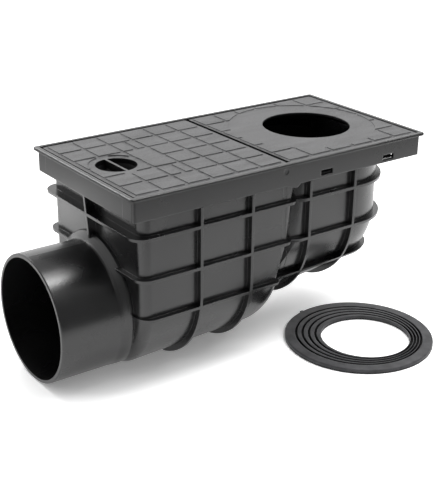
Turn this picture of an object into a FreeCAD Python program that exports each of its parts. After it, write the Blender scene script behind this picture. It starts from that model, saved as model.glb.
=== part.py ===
"""Downpipe gully with a side outlet: a ribbed tub under a frame with two lids.

Millimetres, +Z up. The origin is the centre of the outlet spigot's open end.
+X runs from that mouth into the tub, and the long ribbed side walls face -Y and +Y.
"""
import FreeCAD
import Part
import math
import os

V = FreeCAD.Vector

# Outlet spigot, for a push-fit sleeve on a 110 mm drain
outlet_d = 110.0
outlet_wall = 3.2
spigot_len = 53.0
mouth_bevel = 0.8
root_d = 117.0
flare_len = 9.0
flare_steps = 6
floor_z = -outlet_d / 2

# Cover frame: a lip, a skirt over the tub and a ledge for the lids
cover_start = 50.3
frame_len = 309.6
frame_w = 159.6
rim_top = 117.2
lip_over = 2.8
lip_t = 2.6
lip_round = 1.0
skirt_h = 20.8
skirt_wall = 2.6
frame_corner_r = 2.5
lid_pocket_edge = 3.9
ledge_w = 6.0
ledge_t = 2.6
ledge_depth = 5.0
crossbar_w = 18.0
tab_x = 202.5
tab_depth = 3.2
tab_span = 16.0
gate_x = 202.0
gate_drop = 7.5
gate_d = 5.0

# Tub
tub_w = 144.0
wall = 3.0
end_top_x = 63.2
end_lean = 0.004
end_edge_r = 9.0
end_bevel = 3.6
sump_axis_x = 168.6
sump_axis_z = 21.2
sump_fall = 0.04
sump_end_x = 221.3
sump_end_r = 36.0
shoulder_r = 8.0
channel_w = 143.0
channel_axis_x = 281.3
channel_axis_z = 51.9
channel_fall = 0.10
channel_start_r = 14.0
channel_end_x = 336.3
channel_end_r = 46.5
valley_x = 217.0
valley_mid_back = 4.0
valley_low_back = 16.0
valley_over = 1.0
valley_lap = 4.0
valley_depth = 4.5
flange_t = 3.0

# Ribs on the outside of the tub
rib_h = 5.0
rib_t = 2.6
rib_z = [79.6, 43.7, 8.4]
rib_end_top_x = 52.5
rib_end_lean = 0.091
side_rib_x = [117.3, 168.6, 230.7, 281.3]

# Snap hooks of the tub in windows of the skirt
snap_x = [246.8, 318.4]
window_w = 13.0
window_h = 4.6
window_low = 2.4
snap_t = 2.0

# Lids
lid_gap = 3.6
lid_gap_x = 206.1
pad_h = 0.8
pad_pitch = 24.0
pad_row_pitch = 24.2
pad_groove = 3.0
pad_rows = 6
pad_columns = 6
pad_margin = 3.4
downpipe_pad_margin = 2.3
pad_bevel = 0.2
wide_pad_column = 2
short_pad = 0.46
short_pad_next = 0.68
lid_rib_t = 2.0
lid_rib_h = 6.0
lid_rib_y = 38.0
lid_rib_shift = 8.0
seat_rib_y = 66.0
lid_corner_r = 2.0
pocket_corner_r = 1.0

# Finger cup of the inspection lid
finger_d = 34.8
finger_x = 85.3
finger_zone_d = 46.6
cup_floor_d = 24.0
cup_wall = 2.0
cup_depth = 15.0
bar_w = 2.2
bar_h = 6.5

# Downpipe hole, off the middle of its smooth disc, and the ring that seals it
disc_d = 134.0
disc_h = 0.3
disc_x = 282.0
hole_d = 80.0
hole_shift_x = 5.5
ring_d = 132.4
ring_t = 3.8
ring_hole_d = 79.6
ring_seat_play = 0.5
ring_seat_depth = 2.4
ring_band_w = 9.2
ring_groove_w = 2.2
ring_groove_depth = 2.0
ring_steps = 4
ring_lay_x = 272.7
ring_lay_y = -101.4
ring_shift_x = 2.7
ring_shift_y = -5.9
ring_bevel = 0.7
ring_nub_d = 5.0
ring_nub_angle = 100.0

# Leaf basket that hangs by its rim on two rails of the tub
basket_start_x = 112.0
basket_len = 82.0
basket_half_w = 57.0
basket_wall = 2.2
basket_low = -43.0
basket_rim_z = 78.0
basket_rim_t = 3.0
basket_rim_half_w = 66.0
basket_sill_h = 24.0
handle_w = 12.0
handle_t = 3.0
handle_h = 22.0
handle_half_span = 40.0
slot_w = 5.0
slot_web = 5.6
slot_len = 30.0
rail_w = 6.0
rail_t = 3.0

# Partition with the flap opening, held between guides of the tub
partition_x = 97.0
partition_t = 4.0
partition_top = 84.0
partition_play = 0.5
partition_head_t = 10.0
guide_top = 60.0
guide_low = 19.0
guide_t = 2.4
guide_w = 6.0
opening_d = 84.0
opening_z = -4.0
seat_h = 1.6
seat_w = 3.0

# Odour flap and its pin
flap_d = 89.0
flap_t = 2.4
flap_gap = 0.1
flap_rib_h = 2.0
flap_rib_t = 2.0
hinge_z = 46.0
pin_d = 3.0
pin_len = 57.0
pin_run_play = 0.08
pin_seat_play = 0.02
knuckle_wall = 1.7
knuckle_w = 12.0
knuckle_out = 24.0
lug_w = 4.0
lug_gap = 0.4

# Clearances between the pieces
fit = 0.3
lid_play = 1.4
lid_end_play = 2.4

# Places that follow from the sizes above
outlet_r = outlet_d / 2
bore_r = outlet_r - outlet_wall
mid_x = cover_start + frame_len / 2
tub_half = tub_w / 2
skirt_half_x = frame_len / 2 - lip_over
skirt_half_y = frame_w / 2 - lip_over
skirt_low = rim_top - skirt_h
pocket_half_x = frame_len / 2 - lid_pocket_edge
pocket_half_y = frame_w / 2 - lid_pocket_edge
ledge_top = rim_top - ledge_depth
tub_top = ledge_top - ledge_t
flange_half_x = skirt_half_x - skirt_wall - fit
flange_half_y = skirt_half_y - skirt_wall - fit
rib_top = skirt_low - fit
split_z = rib_z[2] - rib_t / 2
knuckle_r = pin_d / 2 + knuckle_wall
hinge_x = partition_x - knuckle_r - lug_gap
flap_face_x = partition_x - seat_h - flap_gap
FAR = 400.0


def box(x0, x1, y0, y1, z0, z1):
    return Part.makeBox(x1 - x0, y1 - y0, z1 - z0, V(x0, y0, z0))


def cylinder(x, y, z, radius, height, direction=V(0, 0, 1)):
    return Part.makeCylinder(radius, height, V(x, y, z), direction)


def cone(x, y, z, low_r, high_r, height):
    return Part.makeCone(low_r, high_r, height, V(x, y, z))


def outline(x0, x1, half_y, z, left_r, right_r):
    """Closed plan outline, even about the X axis, with its own radius at each end."""
    edges = []
    edges.append(Part.LineSegment(V(x0 + left_r, -half_y, z), V(x1 - right_r, -half_y, z)))
    corners = [
        (x1 - right_r, -half_y + right_r, right_r, -90),
        (x1 - right_r, half_y - right_r, right_r, 0),
        (x0 + left_r, half_y - left_r, left_r, 90),
        (x0 + left_r, -half_y + left_r, left_r, 180),
    ]
    sides = [
        (V(x1, -half_y + right_r, z), V(x1, half_y - right_r, z)),
        (V(x1 - right_r, half_y, z), V(x0 + left_r, half_y, z)),
        (V(x0, half_y - left_r, z), V(x0, -half_y + left_r, z)),
        None,
    ]
    for corner, side in zip(corners, sides):
        cx, cy, radius, start = corner
        circle = Part.Circle(V(cx, cy, z), V(0, 0, 1), radius)
        edges.append(Part.ArcOfCircle(circle, math.radians(start), math.radians(start + 90)))
        if side:
            edges.append(Part.LineSegment(*side))
    return Part.Wire(Part.__sortEdges__([edge.toShape() for edge in edges]))


def slab(x0, x1, half_y, z0, z1, left_r, right_r=None):
    """Plate or block with rounded upright corners."""
    right_r = left_r if right_r is None else right_r
    wire = outline(x0, x1, half_y, z0, left_r, right_r)
    return Part.Face(wire).extrude(V(0, 0, z1 - z0))


def joined(shapes):
    """One clean solid or compound from several overlapping shapes."""
    first = shapes[0]
    if len(shapes) > 1:
        first = first.fuse(shapes[1:])
    return first.removeSplitter()


def trough(x0, x1, half_w, end_r, axis_x, axis_z, fall, top):
    """Open-topped channel form: half round below a falling axis, upright above it.

    Its far end is rounded by end_r in plan and, turned about the axis, from below.
    """
    length = math.sqrt(1 + fall * fall)
    along = V(1 / length, 0, fall / length)
    start = V(axis_x, 0, axis_z) + along * ((x0 - axis_x) * length)
    reach = (x1 - x0) * length

    def place(s, y):
        return start + along * s + V(0, y, 0)

    bend = end_r * math.sin(math.radians(45))
    near = reach - end_r
    corner = place(near + bend, half_w - end_r + bend)
    half = [
        Part.LineSegment(place(0, 0), place(0, half_w)),
        Part.LineSegment(place(0, half_w), place(near, half_w)),
        Part.Arc(place(near, half_w), corner, place(reach, half_w - end_r)),
        Part.LineSegment(place(reach, half_w - end_r), place(reach, 0)),
        Part.LineSegment(place(reach, 0), place(0, 0)),
    ]
    half_face = Part.Face(Part.Wire([edge.toShape() for edge in half]))
    below = half_face.revolve(start, along * -1, 180)
    upright = half_face.extrude(V(0, 0, FAR))
    above = joined([upright, upright.mirror(V(0, 0, 0), V(0, 1, 0))])
    form = joined([below, above])
    return form.common(box(x0 - FAR, x1 + FAR, -FAR, FAR, -FAR, top))


def run(x0, x1, half_w, axis_x, axis_z, fall, top):
    """Straight length of the same half-round channel form."""
    z = axis_z + (x0 - axis_x) * fall
    arc = Part.Arc(V(x0, -half_w, z), V(x0, 0, z - half_w), V(x0, half_w, z))
    edges = [
        arc.toShape(),
        Part.makeLine(V(x0, half_w, z), V(x0, half_w, z + FAR)),
        Part.makeLine(V(x0, half_w, z + FAR), V(x0, -half_w, z + FAR)),
        Part.makeLine(V(x0, -half_w, z + FAR), V(x0, -half_w, z)),
    ]
    face = Part.Face(Part.Wire(edges))
    form = face.extrude(V(x1 - x0, 0, (x1 - x0) * fall))
    return form.common(box(x0 - FAR, x1 + FAR, -FAR, FAR, -FAR, top))


def end_x(z, grow=0.0):
    """Face of the end wall at a height. The ribs on it grow taller towards the top."""
    if grow > 0:
        return rib_end_top_x + (tub_top - z) * rib_end_lean
    return end_top_x + (tub_top - z) * end_lean - grow


def valley_shift(z):
    """How far the slanting valley of the side walls lies from its place at the top rib."""
    top, middle, low = rib_z
    if z > middle:
        return -valley_mid_back * (top - z) / (top - middle)
    slant = (valley_low_back - valley_mid_back) / (middle - low)
    return -valley_mid_back - (middle - z) * slant


def leaning(x0, x1, half_y, top, left_r, right_r):
    """Block above the split whose upright ends lean with the valley."""
    parts = []
    levels = [split_z, rib_z[1], top]
    for low, high in zip(levels, levels[1:]):
        shift = valley_shift(low)
        wire = outline(x0 + shift, x1 + shift, half_y, low, left_r, right_r)
        way = V(valley_shift(high) - shift, 0, high - low)
        parts.append(Part.Face(wire).extrude(way))
    return joined(parts)


def sump_form(grow, top):
    """Deep end of the tub, grown or shrunk by an even amount."""
    half_w = tub_half + grow
    start = end_top_x - FAR / 4
    inward = min(grow, 0.0)
    lower = trough(start, sump_end_x + grow, half_w, sump_end_r + grow,
                   sump_axis_x, sump_axis_z, sump_fall, split_z)
    straight = trough(start, sump_end_x + FAR / 4, half_w, sump_end_r,
                      sump_axis_x, sump_axis_z, sump_fall, top)
    shoulder = leaning(start, valley_x + valley_over + inward / 2, half_w, top,
                       1.0, shoulder_r + inward)
    form = joined([lower, straight.common(shoulder)])
    low = floor_z - 2 * rib_h
    far = sump_end_x + FAR / 2
    side = Part.Face(Part.makePolygon([
        V(end_x(low, grow), -FAR / 2, low),
        V(end_x(top, grow), -FAR / 2, top),
        V(far, -FAR / 2, top),
        V(far, -FAR / 2, low),
        V(end_x(low, grow), -FAR / 2, low),
    ]))
    form = form.common(side.extrude(V(0, FAR, 0)))
    edges = end_edges(form, grow, top)
    if grow < 0:
        return form.makeChamfer(end_bevel, edges)
    return form.makeFillet(end_edge_r + grow, edges)


def end_edges(form, grow, top):
    """Edges round the leaning end face, all but its level top edge."""
    found = []
    for edge in form.Edges:
        points = [edge.valueAt(p) for p in (edge.FirstParameter, edge.LastParameter)]
        points.append(edge.valueAt((edge.FirstParameter + edge.LastParameter) / 2))
        on_end = all(abs(point.x - end_x(point.z, grow)) < 1e-4 for point in points)
        if on_end and any(point.z < top - 1e-4 for point in points):
            found.append(edge)
    return found


def channel_form(grow, top):
    """Shallow end of the tub, under the downpipe."""
    half_w = channel_w / 2 + grow
    inward = min(grow, 0.0)
    form = trough(valley_x - sump_end_r, channel_end_x + grow, half_w,
                  channel_end_r + grow, channel_axis_x, channel_axis_z, channel_fall, top)
    upper = leaning(valley_x - valley_lap - inward / 2, channel_end_x + FAR / 4, half_w, top,
                    channel_start_r + inward, 1.0)
    lower = box(0, FAR + channel_end_x, -FAR, FAR, -FAR, split_z)
    return form.common(joined([upper, lower]))


def throat_form(top, play=0.0):
    """Passage between the two ends, inside the valley of the side walls."""
    half_w = channel_w / 2 - valley_depth - wall - play
    return trough(valley_x - sump_end_r, valley_x + channel_end_r, half_w,
                  sump_end_r / 2, channel_axis_x, channel_axis_z, channel_fall, top)


def inner_form(top, play=0.0):
    """Space inside the tub, less an even play."""
    return joined([
        sump_form(-wall - play, top),
        channel_form(-wall - play, top),
        throat_form(top, play),
    ])


def inside_fittings():
    """Rails for the basket's rim and guides for the partition."""
    fittings = []
    inner = tub_half - wall
    for side in (-1, 1):
        y0, y1 = sorted((side * (inner - rail_w), side * (inner + 1)))
        rail_z = basket_rim_z - basket_rim_t
        fittings.append(box(basket_start_x - 6, basket_start_x + basket_len, y0, y1,
                            rail_z - rail_t, rail_z))
        y0, y1 = sorted((side * (inner - guide_w), side * (inner + 1)))
        for x in (partition_x - fit - guide_t, partition_x + partition_t + fit):
            fittings.append(box(x, x + guide_t, y0, y1, guide_low, guide_top))
    return fittings


def tub_ribs(sump, channel):
    """Three level ribs round the tub and upright ones that wrap under it."""
    envelope = joined([sump, channel])
    ribs = []
    for z in rib_z:
        level = box(-FAR, FAR * 2, -FAR, FAR, z - rib_t / 2, z + rib_t / 2)
        ribs.append(envelope.common(level))
    for number, x in enumerate(side_rib_x):
        around = sump if x < sump_end_x else channel
        upright = box(x - rib_t / 2, x + rib_t / 2, -FAR, FAR, floor_z, rib_top)
        ribs.append(around.common(upright))
        hidden = box(x - rib_t / 2, x + rib_t / 2, -flange_half_y, flange_half_y,
                     rib_top - 1, tub_top)
        ribs.append(around.common(hidden))
    end = box(-FAR, end_x(floor_z), -rib_t / 2, rib_t / 2, 0, rib_top)
    ribs.append(sump.common(end))
    return ribs


def flare(inside_x):
    """Smooth swelling at the root of the spigot, level with it along the bottom."""
    sections = []
    for step in range(flare_steps + 1):
        share = step / flare_steps
        radius = outlet_r + (root_d / 2 - outlet_r) * (1 - math.cos(math.pi * share)) / 2
        circle = Part.Circle(V(spigot_len + flare_len * share, 0, floor_z + radius),
                             V(1, 0, 0), radius)
        sections.append(Part.Wire([circle.toShape()]))
    swell = Part.makeLoft(sections, True, True)
    root_r = root_d / 2
    root_x = spigot_len + flare_len
    root = cylinder(root_x, 0, floor_z + root_r, root_r, inside_x - root_x, V(1, 0, 0))
    return [swell, root]


def snap_tongue(x, side):
    """Tongue under the flange with a nose in a window of the skirt."""
    inner = flange_half_y - snap_t
    window_z = skirt_low + window_low
    half = window_w / 2 - 1.0
    tongue = box(x - half, x + half, inner, flange_half_y, window_z, tub_top)
    nose_out = skirt_half_y - 0.9
    nose_low = window_z + 0.9
    nose_top = window_z + window_h - 0.4
    wire = Part.makePolygon([
        V(x - half, flange_half_y - 0.5, nose_low),
        V(x - half, nose_out, nose_low),
        V(x - half, nose_out, nose_low + 1.2),
        V(x - half, flange_half_y - 0.5, nose_top),
        V(x - half, flange_half_y - 0.5, nose_low),
    ])
    nose = Part.Face(wire).extrude(V(2 * half, 0, 0))
    hook = joined([tongue, nose])
    return hook if side > 0 else hook.mirror(V(0, 0, 0), V(0, 1, 0))


def make_tub():
    outer_sump = sump_form(0, tub_top)
    outer_channel = channel_form(0, tub_top)
    shell = joined([outer_sump, outer_channel])
    ribs = tub_ribs(sump_form(rib_h, rib_top), channel_form(rib_h, rib_top))
    low_box = box(-FAR, FAR * 2, -FAR, FAR, floor_z, tub_top)
    ribs = [rib.common(low_box) for rib in ribs]
    flange = slab(mid_x - flange_half_x, mid_x + flange_half_x, flange_half_y,
                  tub_top - flange_t, tub_top, frame_corner_r)
    inside_x = end_x(0) + wall + 1
    spigot = cylinder(0, 0, 0, outlet_r, inside_x, V(1, 0, 0))
    mouth = [edge for edge in spigot.Edges if abs(edge.CenterOfMass.x) < 1e-6]
    spigot = spigot.makeChamfer(mouth_bevel, mouth)
    body = joined([shell, flange, spigot] + flare(inside_x) + ribs)
    cavity_top = tub_top + 1
    cavity = inner_form(cavity_top)
    bore = cylinder(-1, 0, 0, bore_r, end_x(floor_z) + wall + 3, V(1, 0, 0))
    body = body.cut(cavity).cut(bore)
    hooks = [snap_tongue(x, side) for x in snap_x for side in (-1, 1)]
    return joined([body] + hooks + inside_fittings())


def make_frame():
    x0 = mid_x - frame_len / 2
    x1 = mid_x + frame_len / 2
    lip = slab(x0, x1, frame_w / 2, rim_top - lip_t, rim_top, frame_corner_r)
    rims = [e for e in lip.Edges if e.BoundBox.ZMin > rim_top - 1e-6]
    lip = lip.makeFillet(lip_round, rims)
    skirt = slab(mid_x - skirt_half_x, mid_x + skirt_half_x, skirt_half_y,
                 skirt_low, rim_top - lip_t / 2, frame_corner_r)
    tab = Part.Face(Part.makePolygon([
        V(tab_x, -skirt_half_y, skirt_low),
        V(tab_x + tab_span * 0.5, -skirt_half_y, skirt_low - tab_depth * 0.8),
        V(tab_x + tab_span * 0.75, -skirt_half_y, skirt_low - tab_depth),
        V(tab_x + tab_span, -skirt_half_y, skirt_low),
        V(tab_x, -skirt_half_y, skirt_low),
    ])).extrude(V(0, skirt_wall, 0))
    solid = joined([lip, skirt])
    inner_x = skirt_half_x - skirt_wall
    inner_y = skirt_half_y - skirt_wall
    below = slab(mid_x - inner_x, mid_x + inner_x, inner_y, skirt_low - 1,
                 ledge_top - ledge_t, pocket_corner_r)
    pocket = slab(mid_x - pocket_half_x, mid_x + pocket_half_x, pocket_half_y,
                  ledge_top, rim_top + 1, pocket_corner_r)
    open_half_x = pocket_half_x - ledge_w
    open_half_y = pocket_half_y - ledge_w
    bar_low = lid_gap_x - crossbar_w / 2
    bar_high = lid_gap_x + crossbar_w / 2
    left = slab(mid_x - open_half_x, bar_low, open_half_y, skirt_low, rim_top, lid_corner_r)
    right = slab(bar_high, mid_x + open_half_x, open_half_y, skirt_low, rim_top, lid_corner_r)
    solid = solid.cut(below).cut(pocket).cut(left).cut(right)
    for x in snap_x:
        low = skirt_low + window_low
        solid = solid.cut(box(x - window_w / 2, x + window_w / 2, -FAR, FAR, low,
                              low + window_h))
    gate = cylinder(gate_x, -skirt_half_y - 1, rim_top - gate_drop, gate_d / 2, 1.4,
                    V(0, 1, 0))
    return joined([solid.cut(gate), tab])


def pad(x0, x1, y0, y1, z):
    """Raised tile with slightly bevelled sides."""
    lower = Part.makePolygon([V(x0, y0, z), V(x1, y0, z), V(x1, y1, z), V(x0, y1, z),
                              V(x0, y0, z)])
    b = pad_bevel
    top = z + pad_h
    upper = Part.makePolygon([V(x0 + b, y0 + b, top), V(x1 - b, y0 + b, top),
                              V(x1 - b, y1 - b, top), V(x0 + b, y1 - b, top),
                              V(x0 + b, y0 + b, top)])
    return Part.makeLoft([lower, upper], True, True)


def pads(x_start, x_end, z):
    """Grid of tiles over a lid, as (column, row, tile)."""
    size = pad_pitch - pad_groove
    wide = pad_row_pitch - pad_groove
    first_y = -(pad_rows * pad_row_pitch - pad_groove) / 2
    tiles = []
    for column in range(pad_columns):
        x0 = x_start + column * pad_pitch
        x1 = min(x0 + size, x_end)
        for row in range(pad_rows):
            y0 = first_y + row * pad_row_pitch
            tiles.append((column, row, x0, x1, y0, y0 + wide))
    return tiles


def lid_plate(x0, x1):
    top = rim_top - pad_h
    half_y = pocket_half_y - lid_play
    return slab(x0, x1, half_y, ledge_top, top, lid_corner_r)


def lid_ribs(x0, x1, stops_x, stops_y):
    """Stiffening ribs under a lid, inside the ledge of the frame and the tub."""
    half_y = pocket_half_y - ledge_w - lid_play
    z0 = ledge_top - lid_rib_h
    ribs = []
    for x in stops_x:
        ribs.append(box(x - lid_rib_t / 2, x + lid_rib_t / 2, -half_y, half_y, z0, ledge_top + 0.5))
    for y in stops_y:
        ribs.append(box(x0, x1, y - lid_rib_t / 2, y + lid_rib_t / 2, z0, ledge_top + 0.5))
    room = inner_form(ledge_top + 1, lid_play)
    return [rib.common(room) for rib in ribs]


def make_inspection_lid():
    x0 = mid_x - pocket_half_x + lid_end_play
    x1 = lid_gap_x - lid_gap / 2
    plate = lid_plate(x0, x1)
    top = rim_top - pad_h
    size = pad_pitch - pad_groove
    tiles = []
    for column, row, tx0, tx1, ty0, ty1 in pads(x0 + pad_margin, x1, top):
        if column == wide_pad_column and row == 2:
            tiles.append(pad(tx0, tx1, ty0, ty1 + pad_row_pitch, top))
            continue
        if column == wide_pad_column and row == 3:
            continue
        if column == wide_pad_column and row in (1, 4):
            tiles.append(pad(tx0, tx0 + size * short_pad, ty0, ty1, top))
            tiles.append(pad(tx0 + size * short_pad_next, tx1, ty0, ty1, top))
            continue
        tiles.append(pad(tx0, tx1, ty0, ty1, top))
    finger_r = finger_d / 2
    zone = cylinder(finger_x, 0, top, finger_zone_d / 2, pad_h + 1)
    tiles = [tile.cut(zone) for tile in tiles]
    cup_low = top - cup_depth
    floor_r = cup_floor_d / 2
    slope_h = ledge_top - cup_low
    cup = cone(finger_x, 0, cup_low - cup_wall, floor_r + cup_wall, finger_r + cup_wall,
               slope_h + cup_wall)
    hollow = joined([
        cone(finger_x, 0, cup_low, floor_r, finger_r, slope_h),
        cylinder(finger_x, 0, ledge_top, finger_r, FAR),
    ])
    bar = box(finger_x - bar_w / 2, finger_x + bar_w / 2, -finger_r - 0.5, finger_r + 0.5,
              top - bar_h, top)
    in_x0 = x0 + ledge_w + lid_play
    in_x1 = lid_gap_x - crossbar_w / 2 - lid_play
    mid = (in_x0 + in_x1) / 2
    ribs = lid_ribs(in_x0, in_x1, [in_x0 + 1, mid + lid_rib_shift, in_x1 - 1],
                    [-lid_rib_y, lid_rib_y])
    solid = joined([plate] + tiles + ribs + [cup])
    solid = solid.cut(hollow)
    return joined([solid, bar])


def make_downpipe_lid():
    x0 = lid_gap_x + lid_gap / 2
    x1 = mid_x + pocket_half_x - lid_play
    plate = lid_plate(x0, x1)
    top = rim_top - pad_h
    tiles = []
    for column, row, tx0, tx1, ty0, ty1 in pads(x0 + downpipe_pad_margin, x1 - pad_bevel, top):
        tiles.append(pad(tx0, tx1, ty0, ty1, top))
    zone = cylinder(disc_x, 0, top, disc_d / 2, pad_h + 1)
    tiles = [piece for piece in [tile.cut(zone) for tile in tiles] if piece.Volume > 1]
    disc = cylinder(disc_x, 0, top - 0.5, disc_d / 2, disc_h + 0.5)
    in_x0 = lid_gap_x + crossbar_w / 2 + lid_play
    in_x1 = x1 - ledge_w - lid_play
    seat_r = ring_d / 2 + ring_seat_play
    ribs = lid_ribs(in_x0, in_x1, [in_x0 + 1], [-seat_rib_y, seat_rib_y])
    solid = joined([plate, disc] + tiles + ribs)
    seat = cylinder(disc_x, 0, ledge_top - lid_rib_h - 1, seat_r, lid_rib_h + 1 + ring_seat_depth)
    hole = cylinder(disc_x + hole_shift_x, 0, ledge_top - 1, hole_d / 2, ledge_depth + 2)
    solid = solid.cut(seat).cut(hole)
    return solid.removeSplitter()


def make_seal_ring():
    """Stepped rubber ring, with grooves that drift towards its hole."""
    z0 = floor_z
    outer_r = ring_d / 2
    ring = cylinder(ring_lay_x, ring_lay_y, z0, outer_r, ring_t)
    rims = [e for e in ring.Edges if e.BoundBox.ZMin > z0 + ring_t - 1e-6]
    ring = ring.makeChamfer(ring_bevel, rims)
    angle = math.radians(ring_nub_angle)
    nub_r = outer_r - ring_nub_d * 0.1
    nub = cylinder(ring_lay_x + nub_r * math.cos(angle), ring_lay_y + nub_r * math.sin(angle),
                   z0, ring_nub_d / 2, ring_t - 0.6)
    ring = joined([ring, nub])
    hole_r = ring_hole_d / 2
    first_r = outer_r - ring_band_w
    for step in range(ring_steps):
        share = step / ring_steps
        radius = first_r + (hole_r - first_r) * share
        x = ring_lay_x + ring_shift_x * share
        y = ring_lay_y + ring_shift_y * share
        low = z0 + ring_t - ring_groove_depth
        groove = cylinder(x, y, low, radius, ring_groove_depth + 1)
        groove = groove.cut(cylinder(x, y, low, radius - ring_groove_w, ring_groove_depth + 1))
        ring = ring.cut(groove)
    hole = cylinder(ring_lay_x + ring_shift_x, ring_lay_y + ring_shift_y, z0 - 1, hole_r,
                    ring_t + 2)
    return ring.cut(hole)


def make_basket():
    x0 = basket_start_x
    x1 = x0 + basket_len
    axis_z = basket_low + basket_half_w
    outer = run(x0, x1, basket_half_w, x0, axis_z, 0, basket_rim_z)
    inner = run(x0 + basket_wall, x1 + 1, basket_half_w - basket_wall, x0, axis_z, 0,
                basket_rim_z + 1)
    sill = outer.common(box(x1 - basket_wall, x1, -FAR, FAR, basket_low - 1,
                            basket_low + basket_sill_h))
    rim = slab(x0 - 4, x1, basket_rim_half_w, basket_rim_z - basket_rim_t, basket_rim_z,
               5.0, 1.0)
    shell = joined([outer, rim]).cut(inner)
    pitch = slot_w + slot_web
    count = int((basket_len - 2 * basket_wall - slot_web) // pitch)
    start = x0 + (basket_len - count * pitch + slot_web) / 2
    slots = []
    tall = basket_half_w * math.radians(24)
    for number in range(count):
        x = start + number * pitch
        slots.append(box(x, x + slot_w, -FAR, FAR, axis_z + 14, axis_z + 14 + slot_len))
        for angle in (-62, -31, 0, 31, 62):
            cutter = box(x, x + slot_w, -tall / 2, tall / 2, -basket_half_w - 2,
                         -basket_half_w + basket_wall * 3)
            cutter.rotate(V(0, 0, 0), V(1, 0, 0), angle)
            cutter.translate(V(0, 0, axis_z))
            slots.append(cutter)
    end_count = int((2 * basket_half_w - 20) // pitch)
    for number in range(end_count):
        y = -end_count * pitch / 2 + slot_web / 2 + number * pitch
        reach = math.sqrt((basket_half_w - 8) ** 2 - max(abs(y), abs(y + slot_w)) ** 2)
        slots.append(box(x0 - 1, x0 + basket_wall + 0.5, y, y + slot_w, axis_z - reach,
                         axis_z - 2))
        slots.append(box(x0 - 1, x0 + basket_wall + 0.5, y, y + slot_w, axis_z + 6,
                         axis_z + 14 + slot_len))
    shell = shell.cut(Part.makeCompound(slots))
    mid = (x0 + x1) / 2
    return joined([shell, sill, arch(mid)])


def arch(x):
    """Fixed bow handle across the basket's rim."""
    half = basket_rim_half_w - 6
    top = basket_rim_z + handle_h
    turn = handle_half_span

    def bow(drop):
        return [
            V(x, -half + drop, basket_rim_z - basket_rim_t),
            V(x, -turn + drop / 2, top - drop),
            V(x, turn - drop / 2, top - drop),
            V(x, half - drop, basket_rim_z - basket_rim_t),
        ]

    outer = bow(0)
    inner = bow(handle_t)
    wire = Part.makePolygon(outer + inner[::-1] + [outer[0]])
    band = Part.Face(wire).extrude(V(handle_w, 0, 0))
    band.translate(V(-handle_w / 2, 0, 0))
    bends = []
    for edge in band.Edges:
        direction = edge.valueAt(edge.LastParameter) - edge.valueAt(edge.FirstParameter)
        if abs(abs(direction.x) - handle_w) < 1e-6 and edge.CenterOfMass.z > basket_rim_z:
            bends.append(edge)
    return band.makeFillet(handle_t * 0.9, bends)


def make_partition():
    x0 = partition_x
    x1 = partition_x + partition_t
    room = sump_form(-wall - partition_play, partition_top)
    plate = room.common(box(x0, x1, -FAR, FAR, -FAR, partition_top))
    mid = (x0 + x1) / 2
    head_half = tub_half - wall - partition_play
    head = box(mid - partition_head_t / 2, mid + partition_head_t / 2, -head_half, head_half,
               partition_top - partition_t, partition_top)
    ears = []
    for side in (-1, 1):
        y0, y1 = sorted((side * (head_half - guide_w), side * head_half))
        ears.append(box(mid - partition_head_t / 2, mid + partition_head_t / 2, y0, y1,
                        guide_top, partition_top))
    seat_r = opening_d / 2 + seat_w
    seat = cylinder(x0 - seat_h, 0, opening_z, seat_r, seat_h + 0.5, V(1, 0, 0))
    lugs = []
    for side in (-1, 1):
        y0, y1 = sorted((side * (knuckle_out + lug_gap), side * (knuckle_out + lug_gap + lug_w)))
        eye = cylinder(hinge_x, y0, hinge_z, knuckle_r, y1 - y0, V(0, 1, 0))
        web = box(hinge_x, x0 + 0.5, y0, y1, hinge_z - knuckle_r, hinge_z + knuckle_r)
        lugs.extend([eye, web])
    solid = joined([plate, head, seat] + ears + lugs)
    opening = cylinder(x0 - seat_h - 1, 0, opening_z, opening_d / 2,
                       partition_t + seat_h + 2, V(1, 0, 0))
    pin_hole = cylinder(hinge_x, -FAR / 2, hinge_z, pin_d / 2 + pin_seat_play, FAR,
                        V(0, 1, 0))
    return solid.cut(opening).cut(pin_hole).removeSplitter()


def make_flap():
    x1 = flap_face_x
    x0 = x1 - flap_t
    disc = cylinder(x0, 0, opening_z, flap_d / 2, flap_t, V(1, 0, 0))
    parts = [disc]
    for side in (-1, 1):
        y0, y1 = sorted((side * (knuckle_out - knuckle_w), side * knuckle_out))
        parts.append(cylinder(hinge_x, y0, hinge_z, knuckle_r, y1 - y0, V(0, 1, 0)))
        parts.append(box(x0, x1, y0, y1, opening_z + flap_d / 4, hinge_z))
    for angle in (-35, 35):
        rib = box(x0 - flap_rib_h, x0 + 0.5, -flap_rib_t / 2, flap_rib_t / 2,
                  -flap_d * 0.44, flap_d * 0.40)
        rib.rotate(V(0, 0, 0), V(1, 0, 0), angle)
        rib.translate(V(0, 0, opening_z))
        parts.append(rib)
    hoop = cylinder(x0 - flap_rib_h, 0, opening_z, flap_d * 0.3, flap_rib_h + 0.5, V(1, 0, 0))
    hoop = hoop.cut(cylinder(x0 - flap_rib_h - 1, 0, opening_z, flap_d * 0.3 - flap_rib_t,
                             flap_rib_h + 3, V(1, 0, 0)))
    parts.append(hoop)
    solid = joined(parts)
    pin_hole = cylinder(hinge_x, -FAR / 2, hinge_z, pin_d / 2 + pin_run_play, FAR,
                        V(0, 1, 0))
    return solid.cut(pin_hole).removeSplitter()


def make_pin():
    pin = cylinder(hinge_x, -pin_len / 2, hinge_z, pin_d / 2, pin_len, V(0, 1, 0))
    return pin.makeChamfer(0.4, [e for e in pin.Edges if e.Closed])


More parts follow.
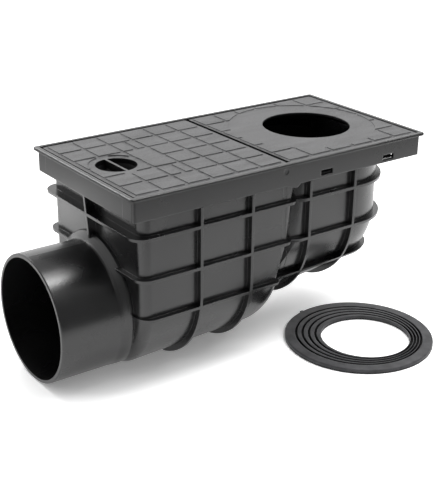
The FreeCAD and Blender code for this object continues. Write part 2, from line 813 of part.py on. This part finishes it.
def export(name, shape):
    solids = shape.Solids
    if len(solids) == 1:
        shape = solids[0]
    assert shape.isValid(), name
    shape.exportStep(f"parts/{name}.step")
    box_ = shape.BoundBox
    print(f"{name}: {len(solids)} solid(s), {shape.Volume / 1000:.1f} cm3, "
          f"{box_.XLength:.1f} x {box_.YLength:.1f} x {box_.ZLength:.1f}")


def main():
    os.makedirs("parts", exist_ok=True)
    export("tub", make_tub())
    export("cover_frame", make_frame())
    export("inspection_lid", make_inspection_lid())
    export("downpipe_lid", make_downpipe_lid())
    export("seal_ring", make_seal_ring())
    export("leaf_basket", make_basket())
    export("flap_frame", make_partition())
    export("odour_flap", make_flap())
    export("flap_pin", make_pin())


main()
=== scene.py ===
# %% [markdown]
# # A downpipe gully with its seal ring
#
# The object is a black plastic gully. A downpipe brings rainwater in through the round hole of the
# right-hand lid, leaves are caught in a basket, and the water leaves through the side spigot. The
# solids are already made, so this lesson starts from them and gives them their looks: moulded
# plastic, fine moulding marks, rubber, steel, and the light of a plain white studio.

# %% Load the frame
import bpy
import bmesh
from mathutils import Matrix, Vector


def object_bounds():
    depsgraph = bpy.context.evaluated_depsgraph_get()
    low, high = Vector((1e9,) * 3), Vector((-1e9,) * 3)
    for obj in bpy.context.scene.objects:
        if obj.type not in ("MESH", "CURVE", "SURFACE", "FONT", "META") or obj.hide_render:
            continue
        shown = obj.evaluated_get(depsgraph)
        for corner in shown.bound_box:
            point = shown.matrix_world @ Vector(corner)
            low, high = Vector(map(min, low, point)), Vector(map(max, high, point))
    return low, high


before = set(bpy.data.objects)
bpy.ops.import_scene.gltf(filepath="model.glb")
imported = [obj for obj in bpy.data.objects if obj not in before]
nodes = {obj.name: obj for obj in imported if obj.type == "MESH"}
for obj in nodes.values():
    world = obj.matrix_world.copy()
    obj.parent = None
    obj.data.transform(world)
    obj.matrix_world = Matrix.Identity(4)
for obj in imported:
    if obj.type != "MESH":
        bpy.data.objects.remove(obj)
cad_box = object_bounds()
MM = 0.001
print("pieces:", sorted(nodes))

# %% [markdown]
# Every colour below is written as the hex value that a picture editor shows. Cycles works in
# linear light, so one function turns the one into the other. A second small function adds a node
# with its settings and links, which keeps each material short enough to read. A third places the
# two colours of a colour ramp.

# %% Colours and nodes
def linear(hex_colour):
    """An sRGB hex colour as linear red, green, blue and alpha."""
    channels = [int(hex_colour[i:i + 2], 16) / 255 for i in (1, 3, 5)]
    return [c / 12.92 if c <= 0.04045 else ((c + 0.055) / 1.055) ** 2.4 for c in channels] + [1.0]


def add(tree, kind, settings=None, inputs=None):
    """Adds a node. An input that is a socket is linked, and any other value is set."""
    node = tree.nodes.new("ShaderNode" + kind)
    for name, value in (settings or {}).items():
        setattr(node, name, value)
    for name, value in (inputs or {}).items():
        if isinstance(value, bpy.types.NodeSocket):
            tree.links.new(value, node.inputs[name])
        else:
            node.inputs[name].default_value = value
    return node


def place_colours(ramp, stops):
    """Sets the two colours of a ramp, each given as its place and its hex colour."""
    for element, (position, hex_colour) in zip(ramp.color_ramp.elements, stops):
        element.position = position
        element.color = linear(hex_colour)


def new_material(name):
    """An empty node material and its output node."""
    material = bpy.data.materials.new(name)
    material.use_nodes = True
    material.node_tree.nodes.clear()
    return material, add(material.node_tree, "OutputMaterial")


print("sRGB #808080 in linear light:", round(linear("#808080")[0], 4))

# %% [markdown]
# A mould is made of several steel blocks, and where two of them meet the plastic creeps into the
# joint by a hair. The part then carries a fine straight line, which the toolmaker can't polish
# away. Such a line is far thinner than any facet of the solid, so it is drawn in the normals: a
# height that is 1 on the line and falls to 0 beside it. Each line belongs to one pair of blocks,
# so it is also cut off to the stretch of the object that those blocks shape.

# %% Mould lines
def band(tree, value, middle, half_width):
    """1 at a value, falling to 0 at half_width to either side, in metres."""
    offset = add(tree, "Math", {"operation": "SUBTRACT"}, {0: value, 1: middle})
    size = add(tree, "Math", {"operation": "ABSOLUTE"}, {0: offset.outputs[0]})
    return add(tree, "MapRange", {}, {"Value": size.outputs[0], "From Min": half_width,
                                      "From Max": 0.0}).outputs["Result"]


def between(tree, value, low, high):
    """1 where a value lies between two places given in millimetres, 0 elsewhere."""
    depth = band(tree, value, (low + high) / 2 * MM, (high - low) / 2 * MM)
    return add(tree, "Math", {"operation": "GREATER_THAN"}, {0: depth, 1: 0.0}).outputs[0]


def mould_lines(tree, place, lines):
    """Height of all the mould lines of a piece."""
    axes = add(tree, "SeparateXYZ", {}, {0: place})
    height = 0.0
    for axis, middle, half_width, cut_axis, low, high in lines:
        line = band(tree, axes.outputs[axis], middle * MM, half_width * MM)
        stretch = between(tree, axes.outputs[cut_axis], low, high)
        part = add(tree, "Math", {"operation": "MULTIPLY"}, {0: line, 1: stretch})
        height = add(tree, "Math", {"operation": "MAXIMUM"},
                     {0: height, 1: part.outputs[0]}).outputs[0]
    return height


# Axis, place on it and half width, then the axis that cuts the line off with the line's two ends,
# in millimetres. The tub's are beside the valley of its front wall and along the spigot.
TUB_LINES = [
    ("X", 203.4, 0.45, "Y", -78.0, -60.0),
    ("X", 207.2, 0.35, "Y", -78.0, -60.0),
    ("X", 212.0, 0.35, "Y", -78.0, -60.0),
    ("Y", 0.0, 0.4, "X", 0.0, 52.0),
]
# The frame's are on its end face above the spigot, near the two corners
FRAME_LINES = [
    ("Y", -62.0, 0.4, "X", 50.0, 54.5),
    ("Y", 62.0, 0.4, "X", 50.0, 54.5),
]
print("mould lines:", len(TUB_LINES) + len(FRAME_LINES))

# %% [markdown]
# The tub, the frame and the inserts are injection-moulded polypropylene, coloured with carbon
# black. Such a part leaves its steel mould with a satin skin. Carbon black eats nearly all the
# light that enters, so what is seen is the reflection of the room on the skin: the base colour is
# almost black and the roughness decides the picture. Polypropylene has an IOR of about 1.5. It is
# raised here until the walls mirror the room as brightly as the real ones do.
#
# The colour is even, the gloss is not, and close up the skin has the faint waviness of polished
# steel. Edges of a moulding are never knife-sharp, so the Bevel node rounds the normals there.
# On the snap hooks in their windows and on the ledge under the lids the shade is painted: a box in
# millimetres marks such a zone, and inside it the specular level drops, so the slots and gaps stay
# black.

# %% Moulded plastic
PLASTIC_IOR = 1.66
SPECULAR_LEVEL = 0.5
# Specular level inside a zone of painted shade
PAINTED_SHADE_LEVEL = 0.04
CLOUD_MM = 60.0
# Values of the clouds between which the colour and the gloss change
CLOUD_TONES = (0.3, 0.75)
CLOUD_GLOSS = (0.3, 0.7)
# How far the roughness goes below and above a piece's own
SHINIER = 0.04
DULLER = 0.05
WAVE_HEIGHT_MM = 0.1
LINE_HEIGHT_MM = 0.25
LINE_STRENGTH = 0.6
BEVEL_SAMPLES = 6


def shade_box(tree, place, zone):
    """1 inside a box given as low and high corner in millimetres, 0 outside it."""
    axes = add(tree, "SeparateXYZ", {}, {0: place})
    inside = 1.0
    for axis, low, high in zip("XYZ", *zone):
        part = between(tree, axes.outputs[axis], low, high)
        inside = add(tree, "Math", {"operation": "MULTIPLY"}, {0: inside, 1: part}).outputs[0]
    return inside


def moulded_plastic(name, colour, dusty, roughness, wave_mm, wave_strength, edge_mm, lines=(),
                    zone=None):
    """Satin moulded plastic: even colour, uneven gloss, a fine skin and rounded edges."""
    material, output = new_material(name)
    tree = material.node_tree
    place = add(tree, "TexCoord").outputs["Object"]
    clouds = add(tree, "TexNoise", {}, {"Vector": place, "Scale": 1 / (CLOUD_MM * MM),
                                        "Detail": 3.0})
    shade = add(tree, "ValToRGB", {}, {"Fac": clouds.outputs["Fac"]})
    place_colours(shade, zip(CLOUD_TONES, (colour, dusty)))
    gloss = add(tree, "MapRange", {}, {
        "Value": clouds.outputs["Fac"], "From Min": CLOUD_GLOSS[0], "From Max": CLOUD_GLOSS[1],
        "To Min": roughness - SHINIER, "To Max": roughness + DULLER})
    waves = add(tree, "TexNoise", {}, {"Vector": place, "Scale": 1 / (wave_mm * MM),
                                       "Detail": 2.0})
    edge = add(tree, "Bevel", {"samples": BEVEL_SAMPLES}, {"Radius": edge_mm * MM})
    skin = add(tree, "Bump", {}, {
        "Height": waves.outputs["Fac"], "Strength": wave_strength,
        "Distance": WAVE_HEIGHT_MM * MM, "Normal": edge.outputs["Normal"]})
    if lines:
        skin = add(tree, "Bump", {}, {
            "Height": mould_lines(tree, place, lines), "Strength": LINE_STRENGTH,
            "Distance": LINE_HEIGHT_MM * MM, "Normal": skin.outputs["Normal"]})
    plastic = add(tree, "BsdfPrincipled", {}, {
        "Base Color": shade.outputs["Color"],
        "Roughness": gloss.outputs["Result"],
        "IOR": PLASTIC_IOR,
        "Normal": skin.outputs["Normal"],
    })
    # Painted shade: inside the zone the specular level drops, so the slots and gaps stay black
    if zone:
        level = add(tree, "MapRange", {}, {"Value": shade_box(tree, place, zone),
                                           "To Min": SPECULAR_LEVEL, "To Max": PAINTED_SHADE_LEVEL})
        tree.links.new(level.outputs["Result"], plastic.inputs["Specular IOR Level"])
    tree.links.new(plastic.outputs["BSDF"], output.inputs["Surface"])
    return material


# Low and high corner of each zone of painted shade, in millimetres
HOOK_SHADE_ZONE = ((235.0, -90.0, 96.8), (330.0, 90.0, 104.0))
LEDGE_SHADE_ZONE = ((54.0, -76.0, 100.0), (356.0, 76.0, 113.5))
TUB_PLASTIC = moulded_plastic(
    "black_polypropylene_tub", "#0c0c0d", "#141415", roughness=0.27, wave_mm=1.6,
    wave_strength=0.10, edge_mm=0.5, lines=TUB_LINES, zone=HOOK_SHADE_ZONE)
FRAME_PLASTIC = moulded_plastic(
    "black_polypropylene_frame", "#0c0c0d", "#121213", roughness=0.30, wave_mm=1.4,
    wave_strength=0.10, edge_mm=1.3, lines=FRAME_LINES, zone=LEDGE_SHADE_ZONE)
INSERT_PLASTIC = moulded_plastic(
    "smooth_black_insert", "#101011", "#161617", roughness=0.30, wave_mm=1.8,
    wave_strength=0.08, edge_mm=0.3)
print("plastics:", TUB_PLASTIC.name, FRAME_PLASTIC.name, INSERT_PLASTIC.name)

# %% [markdown]
# The lids are walked on, so their mould is eroded by sparks to give a grip. The result is a skin
# of tiny pits. The real ones are too fine for this picture, so they are drawn 0.7 mm wide. The
# skin scatters the light of the lamps overhead, and for that reason a lid looks lighter than the
# smooth lip beside it although the plastic is the same. The plastic also flows in from a gate and
# leaves faint long streaks. Three patterns make the finish: pits in the normals, a speckle in the
# colour, and a stretched noise for the streaks.
#
# Only the walked-on face has this grip. The edges of the lids and the inside of the finger cup came
# from smoother steel, so below the face the colour is that of plain plastic. They lie deep in
# shade, and that shade is painted: below the face the specular level drops.

# %% Textured lids
PIT_MM = 0.7
PIT_HEIGHT_MM = 0.25
PIT_STRENGTH = 0.7
SPECKLE_MM = 1.8
STREAK_MM = 13.0
STREAK_STRETCH = (0.22, 1.6, 1.0)
STREAK_SHARE = 0.45
LID_DARK, LID_LIGHT, LID_SHADED = "#242425", "#565657", "#0c0c0d"
# Values of the two noises between which the colour and the gloss change
LID_TONES = (0.40, 0.60)
LID_GLOSS = (0.36, 0.64)
LID_ROUGHNESS = 0.48
LID_ROUGHNESS_SPREAD = 0.08
LID_EDGE_MM = 0.25
LID_SHADED_LEVEL = 0.12
BELOW_FACE = ((40.0, -90.0, 80.0), (370.0, 90.0, 116.1))


def textured_plastic(name):
    """Spark-eroded moulded plastic: pits, speckle and faint streaks along the lid."""
    material, output = new_material(name)
    tree = material.node_tree
    place = add(tree, "TexCoord").outputs["Object"]
    speckle = add(tree, "TexNoise", {}, {"Vector": place, "Scale": 1 / (SPECKLE_MM * MM),
                                         "Detail": 4.0, "Roughness": 0.7})
    long = add(tree, "Mapping", {}, {"Vector": place, "Scale": STREAK_STRETCH})
    streak = add(tree, "TexNoise", {}, {"Vector": long.outputs["Vector"],
                                        "Scale": 1 / (STREAK_MM * MM), "Detail": 5.0,
                                        "Roughness": 0.62})
    both = add(tree, "Mix", {"data_type": "FLOAT"}, {
        0: STREAK_SHARE, 2: speckle.outputs["Fac"], 3: streak.outputs["Fac"]})
    shade = add(tree, "ValToRGB", {}, {"Fac": both.outputs[0]})
    place_colours(shade, zip(LID_TONES, (LID_DARK, LID_LIGHT)))
    gloss = add(tree, "MapRange", {}, {
        "Value": both.outputs[0], "From Min": LID_GLOSS[0], "From Max": LID_GLOSS[1],
        "To Min": LID_ROUGHNESS - LID_ROUGHNESS_SPREAD,
        "To Max": LID_ROUGHNESS + LID_ROUGHNESS_SPREAD})
    pits = add(tree, "TexNoise", {}, {"Vector": place, "Scale": 1 / (PIT_MM * MM), "Detail": 3.0})
    edge = add(tree, "Bevel", {"samples": BEVEL_SAMPLES}, {"Radius": LID_EDGE_MM * MM})
    skin = add(tree, "Bump", {}, {
        "Height": pits.outputs["Fac"], "Strength": PIT_STRENGTH,
        "Distance": PIT_HEIGHT_MM * MM, "Normal": edge.outputs["Normal"]})
    # Below the walked-on face: the colour of plain plastic, and painted shade as a lower specular
    # level
    below = shade_box(tree, place, BELOW_FACE)
    colour = add(tree, "Mix", {"data_type": "RGBA"}, {
        0: below, 6: shade.outputs["Color"], 7: linear(LID_SHADED)})
    level = add(tree, "MapRange", {}, {"Value": below, "To Min": SPECULAR_LEVEL,
                                       "To Max": LID_SHADED_LEVEL})
    plastic = add(tree, "BsdfPrincipled", {}, {
        "Base Color": colour.outputs[2],
        "Roughness": gloss.outputs["Result"],
        "IOR": PLASTIC_IOR,
        "Specular IOR Level": level.outputs["Result"],
        "Normal": skin.outputs["Normal"],
    })
    tree.links.new(plastic.outputs["BSDF"], output.inputs["Surface"])
    return material


LID_PLASTIC = textured_plastic("textured_black_lid")
print("lid finish:", LID_PLASTIC.name)

# %% [markdown]
# The seal ring is soft black rubber. Rubber scatters more than plastic and its skin reflects a
# little less, which takes a lower IOR and more roughness. Wax and talc come out of the rubber as a
# dull grey bloom, which gives the ridges their colour. The grooves get painted shade: the
# AmbientOcclusion node tells them from the ridges by how much of the sky a spot can see, and in a
# groove the colour turns deep black and the reflection weaker. The Bevel node rounds each ridge
# from both its edges, over nearly its whole width.

# %% Rubber
RUBBER_IOR = 1.45
RUBBER_ROUGHNESS = 0.45
BLOOM_MM = 9.0
BLOOM_TONES = (0.35, 0.70)
# The last colour is painted shade in the grooves
BLOOM_DARK, BLOOM_LIGHT, GROOVE_PAINTED_SHADE = "#38383a", "#4b4b4d", "#060607"
GROOVE_MM = 2.2
# Share of open sky in a groove and on a ridge
SKY_SHARE = (0.62, 0.97)
SKY_SAMPLES = 8
GROOVE_SHADE_LEVEL, RIDGE_LEVEL = 0.03, 0.34
RIDGE_ROUND_MM = 0.9
RUBBER_SKIN_MM = 1.2
RUBBER_SKIN_HEIGHT_MM = 0.1
RUBBER_SKIN_STRENGTH = 0.15


def seal_rubber():
    """Soft black rubber: a dull bloom on the ridges, painted shade in the grooves."""
    material, output = new_material("black_rubber_seal")
    tree = material.node_tree
    place = add(tree, "TexCoord").outputs["Object"]
    bloom = add(tree, "TexNoise", {}, {"Vector": place, "Scale": 1 / (BLOOM_MM * MM),
                                       "Detail": 4.0})
    ridge = add(tree, "ValToRGB", {}, {"Fac": bloom.outputs["Fac"]})
    place_colours(ridge, zip(BLOOM_TONES, (BLOOM_DARK, BLOOM_LIGHT)))
    sky = add(tree, "AmbientOcclusion", {"samples": SKY_SAMPLES}, {"Distance": GROOVE_MM * MM})
    on_ridge = add(tree, "MapRange", {"interpolation_type": "SMOOTHSTEP"}, {
        "Value": sky.outputs["AO"], "From Min": SKY_SHARE[0], "From Max": SKY_SHARE[1]})
    # Painted shade: in the grooves the colour turns deep black and the reflection weaker
    colour = add(tree, "Mix", {"data_type": "RGBA"}, {
        0: on_ridge.outputs["Result"], 6: linear(GROOVE_PAINTED_SHADE), 7: ridge.outputs["Color"]})
    level = add(tree, "MapRange", {}, {"Value": on_ridge.outputs["Result"],
                                       "To Min": GROOVE_SHADE_LEVEL, "To Max": RIDGE_LEVEL})
    grain = add(tree, "TexNoise", {}, {"Vector": place, "Scale": 1 / (RUBBER_SKIN_MM * MM),
                                       "Detail": 2.0})
    edge = add(tree, "Bevel", {"samples": BEVEL_SAMPLES}, {"Radius": RIDGE_ROUND_MM * MM})
    skin = add(tree, "Bump", {}, {
        "Height": grain.outputs["Fac"], "Strength": RUBBER_SKIN_STRENGTH,
        "Distance": RUBBER_SKIN_HEIGHT_MM * MM, "Normal": edge.outputs["Normal"]})
    rubber = add(tree, "BsdfPrincipled", {}, {
        "Base Color": colour.outputs[2],
        "Roughness": RUBBER_ROUGHNESS,
        "IOR": RUBBER_IOR,
        "Specular IOR Level": level.outputs["Result"],
        "Normal": skin.outputs["Normal"],
    })
    tree.links.new(rubber.outputs["BSDF"], output.inputs["Surface"])
    return material


SEAL_RUBBER = seal_rubber()
print("seal finish:", SEAL_RUBBER.name)

# %% [markdown]
# The small pin of the odour flap is stainless wire, drawn through a die. It is a bright metal, and
# the die leaves fine scratches that make its gloss uneven. They are far too fine to show, so
# patches of 0.8 mm in the roughness stand for them. The pin sits inside the tub, where the camera
# can't see it.

# %% Steel
STEEL_COLOUR = "#c3c4c8"
SCRATCH_MM = 0.8
STEEL_ROUGHNESS = (0.22, 0.38)


def drawn_steel():
    """Drawn stainless wire: bright, with a slightly uneven gloss."""
    material, output = new_material("drawn_stainless_pin")
    tree = material.node_tree
    place = add(tree, "TexCoord").outputs["Object"]
    scratches = add(tree, "TexNoise", {}, {"Vector": place, "Scale": 1 / (SCRATCH_MM * MM),
                                           "Detail": 3.0})
    gloss = add(tree, "MapRange", {}, {"Value": scratches.outputs["Fac"],
                                       "To Min": STEEL_ROUGHNESS[0],
                                       "To Max": STEEL_ROUGHNESS[1]})
    metal = add(tree, "BsdfPrincipled", {}, {
        "Base Color": linear(STEEL_COLOUR), "Metallic": 1.0, "Roughness": gloss.outputs["Result"]})
    tree.links.new(metal.outputs["BSDF"], output.inputs["Surface"])
    return material


PIN_STEEL = drawn_steel()
print("pin finish:", PIN_STEEL.name)

# %% [markdown]
# Every solid now gets its finish. The solids themselves stay as they came, and only their material
# slot is filled. The basket, the partition and the flap inside the tub are one kind of moulding, so
# they share the smooth insert plastic, and both lids share the textured one.

# %% Finish every piece
FINISHES = {
    "tub": TUB_PLASTIC,
    "cover_frame": FRAME_PLASTIC,
    "inspection_lid": LID_PLASTIC,
    "downpipe_lid": LID_PLASTIC,
    "seal_ring": SEAL_RUBBER,
    "leaf_basket": INSERT_PLASTIC,
    "flap_frame": INSERT_PLASTIC,
    "odour_flap": INSERT_PLASTIC,
    "flap_pin": PIN_STEEL,
}
for name, finish in FINISHES.items():
    node = nodes[name]
    node.data.materials.clear()
    node.data.materials.append(finish)
print("finished:", len(FINISHES), "nodes")

# %% [markdown]
# The object stands on a white table in front of a white wall. The table is a real sheet, so the
# shadow under the object is real as well. It gets a little light of its own that only the camera
# sees, which lifts the open floor to plain white and leaves the shadow dark.
#
# The walls of the tub mirror this table, so its light and dark parts are what shapes them, and
# these parts are painted light and painted shade. In the photograph the skirt of the cover is dark
# at its top and lighter below: the white sheet ends about a third of a metre in front of the
# object, beyond that end the table is grey, a painted shade, and the top of the skirt already
# mirrors it. The sheet carries painted light, a glow that only glossy rays see, and close to the
# object it is brightest. At the back left a bright patch of this painted light shows in the end
# wall, and a part further left is grey, a painted shade that keeps the left end of the cover dark.
# Each part is a product of soft edges. The camera sees none of them, only the plain white paper.

# %% Floor
FLOOR_HALF = 6.0
FLOOR_MIDDLE_X = 0.2
FLOOR_GAP_MM = 0.2
FLOOR_LIFT = 0.18
PAPER_WHITE = 1.25
# Colour of the paper, and the grey of the painted shade beyond the sheet and at the back left
PAPER_LIT, PAPER_SHADED = "#f0f0f0", "#5a5a5a"
# Strengths of the painted light that only glossy rays see
SHEET_GLOW = 0.28
NEAR_GLOW = 0.12
PATCH_GLOW = 1.9
# Soft edges of each part of the table: the axis, where it is 0 and where it is 1, in metres
SHEET_EDGES = [("Y", -0.475, -0.415)]
SHADE_EDGES = [("X", -0.125, -0.185), ("Y", 0.10, 0.22)]
NEAR_EDGES = [("Y", -0.30, -0.12), ("Y", -0.02, -0.06)]
PATCH_EDGES = [("X", -0.16, -0.11), ("X", 0.0, -0.09), ("Y", 0.26, 0.37), ("Y", 0.43, 0.38)]


def soft_area(tree, axes, edges):
    """1 inside an area and 0 outside it, from its soft edges."""
    area = 1.0
    for axis, outside, inside in edges:
        edge = add(tree, "MapRange", {"interpolation_type": "SMOOTHSTEP"}, {
            "Value": axes.outputs[axis], "From Min": outside, "From Max": inside})
        area = add(tree, "Math", {"operation": "MULTIPLY"},
                   {0: area, 1: edge.outputs["Result"]}).outputs[0]
    return area


def table_material():
    """White paper for the camera, and painted light and painted shade on the table for the
    reflections.
    """
    material, output = new_material("white_table")
    tree = material.node_tree
    axes = add(tree, "SeparateXYZ", {}, {0: add(tree, "TexCoord").outputs["Object"]})
    rays = add(tree, "LightPath")
    camera_ray, glossy_ray = rays.outputs["Is Camera Ray"], rays.outputs["Is Glossy Ray"]
    unshaded = add(tree, "Math", {"operation": "SUBTRACT"},
                   {0: 1.0, 1: soft_area(tree, axes, SHADE_EDGES)})
    sheet = add(tree, "Math", {"operation": "MULTIPLY"},
                {0: soft_area(tree, axes, SHEET_EDGES), 1: unshaded.outputs[0]}).outputs[0]
    # Painted shade: grey beyond the sheet's end and in the part at the back left
    tone = add(tree, "Mix", {"data_type": "RGBA"}, {
        0: sheet, 6: linear(PAPER_SHADED), 7: linear(PAPER_LIT)})
    white = add(tree, "Mix", {"data_type": "RGBA"}, {
        0: camera_ray, 6: tone.outputs[2], 7: [PAPER_WHITE] * 3 + [1.0]})
    paper = add(tree, "BsdfDiffuse", {}, {"Color": white.outputs[2]})
    # Painted light: a glow that only glossy rays see
    mirrored = 0.0
    for area, strength in ((sheet, SHEET_GLOW),
                           (soft_area(tree, axes, NEAR_EDGES), NEAR_GLOW),
                           (soft_area(tree, axes, PATCH_EDGES), PATCH_GLOW)):
        mirrored = add(tree, "Math", {"operation": "MULTIPLY_ADD"},
                       {0: area, 1: strength, 2: mirrored}).outputs[0]
    reflected = add(tree, "Math", {"operation": "MULTIPLY"}, {0: glossy_ray, 1: mirrored})
    lift = add(tree, "Math", {"operation": "MULTIPLY_ADD"}, {
        0: camera_ray, 1: FLOOR_LIFT, 2: reflected.outputs[0]})
    glow = add(tree, "Emission", {}, {"Color": linear("#ffffff"), "Strength": lift.outputs[0]})
    both = add(tree, "AddShader", {}, {0: paper.outputs["BSDF"], 1: glow.outputs["Emission"]})
    tree.links.new(both.outputs["Shader"], output.inputs["Surface"])
    return material


def studio_floor():
    """A large pale sheet, a hair below the lowest point of the object."""
    mesh = bpy.data.meshes.new("studio_floor")
    form = bmesh.new()
    bmesh.ops.create_grid(form, x_segments=1, y_segments=1, size=FLOOR_HALF)
    floor_z = cad_box[0].z - FLOOR_GAP_MM * MM
    bmesh.ops.translate(form, verts=form.verts, vec=(FLOOR_MIDDLE_X, 0.0, floor_z))
    form.to_mesh(mesh)
    form.free()
    sheet = bpy.data.objects.new("studio_floor", mesh)
    bpy.context.scene.collection.objects.link(sheet)
    mesh.materials.append(table_material())
    return sheet


floor = studio_floor()
print("floor at", round(floor.data.vertices[0].co.z / MM, 2), "mm")

# %% [markdown]
# Black satin plastic is a dark mirror, so it is lit by what it reflects. The round spigot shows
# the whole room in one strip. Read from its top to its bottom it shows the white backdrop, then a
# grey ceiling, then the bright key softbox nearly overhead, then the dark room behind the camera,
# and last the white table. The lights here are set to give the same strip.
#
# The key softbox also draws the thin light line along the front lip and the ribs. A narrow and
# brighter strip hangs beside it, on the camera's side. It strengthens the highlight of the spigot
# and lights the lower ribs and the seal ring. A smaller softbox behind the object draws the line on
# the left lip.

# %% Lights
ROOM_DARK = 0.26
ROOM_GREY = 0.72
BACKDROP = 1.48
# Soft edges on the direction of a ray, as axis, where the part is 0 and where it is 1
BACKDROP_EDGES = [("Y", -0.15, 0.15), ("Z", 0.48, 0.30)]
DARK_EDGES = [("Y", -0.05, -0.35), ("Z", 0.80, 0.60)]
# Name, place and aim in metres, width and height in metres, power in watts
LAMPS = [
    ("key_softbox", (0.70, -0.14, 1.12), (0.62, -0.14, 0.0), 0.60, 1.10, 6.5),
    ("key_strip", (0.72, -0.41, 1.02), (0.62, -0.34, 0.0), 0.14, 1.20, 7.0),
    ("back_softbox", (-0.02, 1.05, 0.93), (0.05, 0.0, 0.12), 0.55, 0.40, 8.0),
]


def studio_world():
    """White backdrop behind, grey ceiling, and a dark room behind the camera."""
    world = bpy.data.worlds.new("white_studio")
    world.use_nodes = True
    tree = world.node_tree
    tree.nodes.clear()
    seen = add(tree, "LightPath").outputs["Is Camera Ray"]
    way = add(tree, "SeparateXYZ", {}, {0: add(tree, "TexCoord").outputs["Generated"]})
    lighter = add(tree, "Mix", {"data_type": "FLOAT"}, {
        0: soft_area(tree, way, BACKDROP_EDGES), 2: ROOM_GREY, 3: BACKDROP})
    level = add(tree, "Mix", {"data_type": "FLOAT"}, {
        0: soft_area(tree, way, DARK_EDGES), 2: lighter.outputs[0], 3: ROOM_DARK})
    shown = add(tree, "Mix", {"data_type": "FLOAT"}, {0: seen, 2: level.outputs[0], 3: 1.0})
    white = add(tree, "Background", {}, {"Color": linear("#ffffff"),
                                         "Strength": shown.outputs[0]})
    output = add(tree, "OutputWorld")
    tree.links.new(white.outputs["Background"], output.inputs["Surface"])
    bpy.context.scene.world = world
    return world


def softbox(name, place, aim, width, height, power):
    """A rectangular area light that faces a point."""
    light = bpy.data.lights.new(name, "AREA")
    light.shape = "RECTANGLE"
    light.size = width
    light.size_y = height
    light.energy = power
    lamp = bpy.data.objects.new(name, light)
    lamp.location = place
    lamp.rotation_euler = (Vector(aim) - Vector(place)).to_track_quat("-Z", "Y").to_euler()
    bpy.context.scene.collection.objects.link(lamp)
    return lamp


world = studio_world()
lamps = [softbox(*lamp) for lamp in LAMPS]
print("world:", world.name, "and lamps:", [lamp.name for lamp in lamps])

# %% [markdown]
# The camera is the one that took the picture. Its place and turn were found from the straight
# edges of the cover and the circle of the spigot, so the render and the photograph can be laid
# over each other. Blender's lens is given in millimetres over a 36 mm sensor, so the focal length
# in pixels is scaled by the height of the picture, its longer side.

# %% Camera
CAMERA_PLACE = Vector((-351.70, -739.52, 406.47)) * MM
CAMERA_RIGHT = Vector((0.80993, -0.58643, 0.01018))
CAMERA_UP = Vector((0.22136, 0.32169, 0.92061))
PHOTO_HEIGHT_PX = 495
FOCAL_PX = 1102.0
SENSOR_MM = 36.0


def photo_camera():
    """The camera that took the picture: its place, its turn and its focal length."""
    lens = bpy.data.cameras.new("photo_camera")
    lens.sensor_width = SENSOR_MM
    lens.lens = FOCAL_PX / PHOTO_HEIGHT_PX * SENSOR_MM
    holder = bpy.data.objects.new("photo_camera", lens)
    back = CAMERA_RIGHT.cross(CAMERA_UP)
    turn = Matrix((CAMERA_RIGHT, CAMERA_UP, back)).transposed()
    holder.matrix_world = Matrix.Translation(CAMERA_PLACE) @ turn.to_4x4()
    bpy.context.scene.collection.objects.link(holder)
    bpy.context.scene.camera = holder
    return holder


camera = photo_camera()
bpy.context.scene.view_settings.view_transform = "Standard"
print("camera:", round(camera.data.lens, 1), "mm lens")

# %% [markdown] A finish adds no thickness, so the dressed object keeps the box of the solids.
